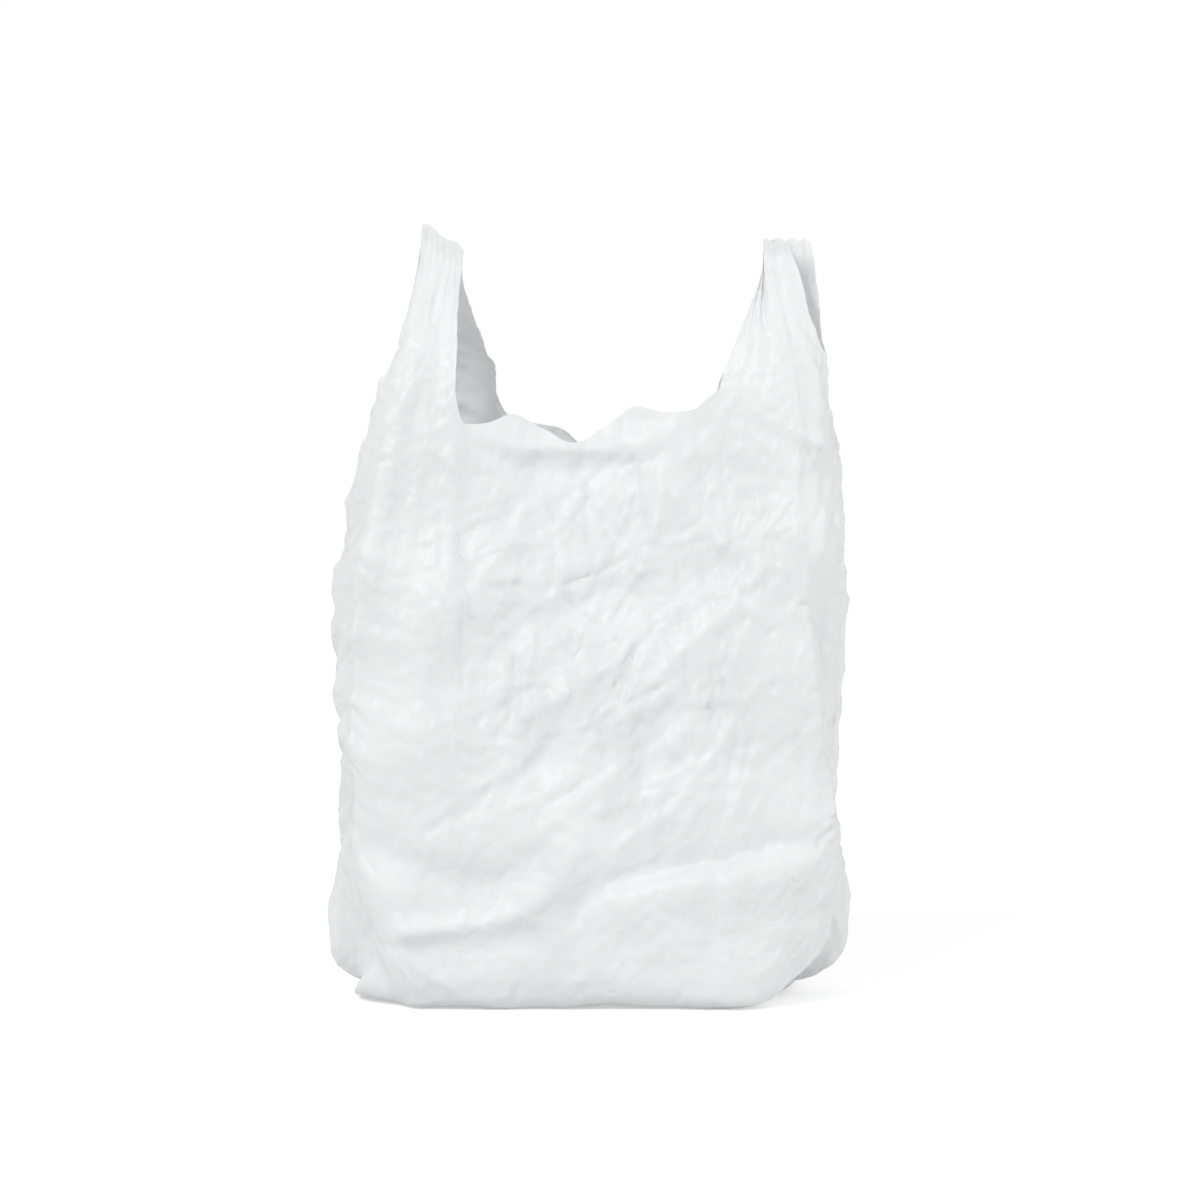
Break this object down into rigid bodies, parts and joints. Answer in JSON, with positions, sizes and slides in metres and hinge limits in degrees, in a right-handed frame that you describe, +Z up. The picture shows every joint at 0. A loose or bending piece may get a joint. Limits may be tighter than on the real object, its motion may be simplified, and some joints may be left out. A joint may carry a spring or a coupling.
{
  "type": "vest-style plastic carrier bag",
  "caption": "Thin white film carrier bag standing open on its welded base, with pleated sides and a gathered loop handle rising from each end of its cut mouth.",
  "frame": {"origin": "on the floor under the middle of the bag's own box", "axes": "+Z up, +X to the right and along the base weld, the front face looks towards -Y"},
  "size_m": [0.329, 0.1678, 0.4865],
  "materials": {
    "white_film": "thin crinkled film, soft sheen, slightly see-through to light"
  },
  "bodies": {
    "root": {"bag": "white_film"}
  },
  "joints": []
}
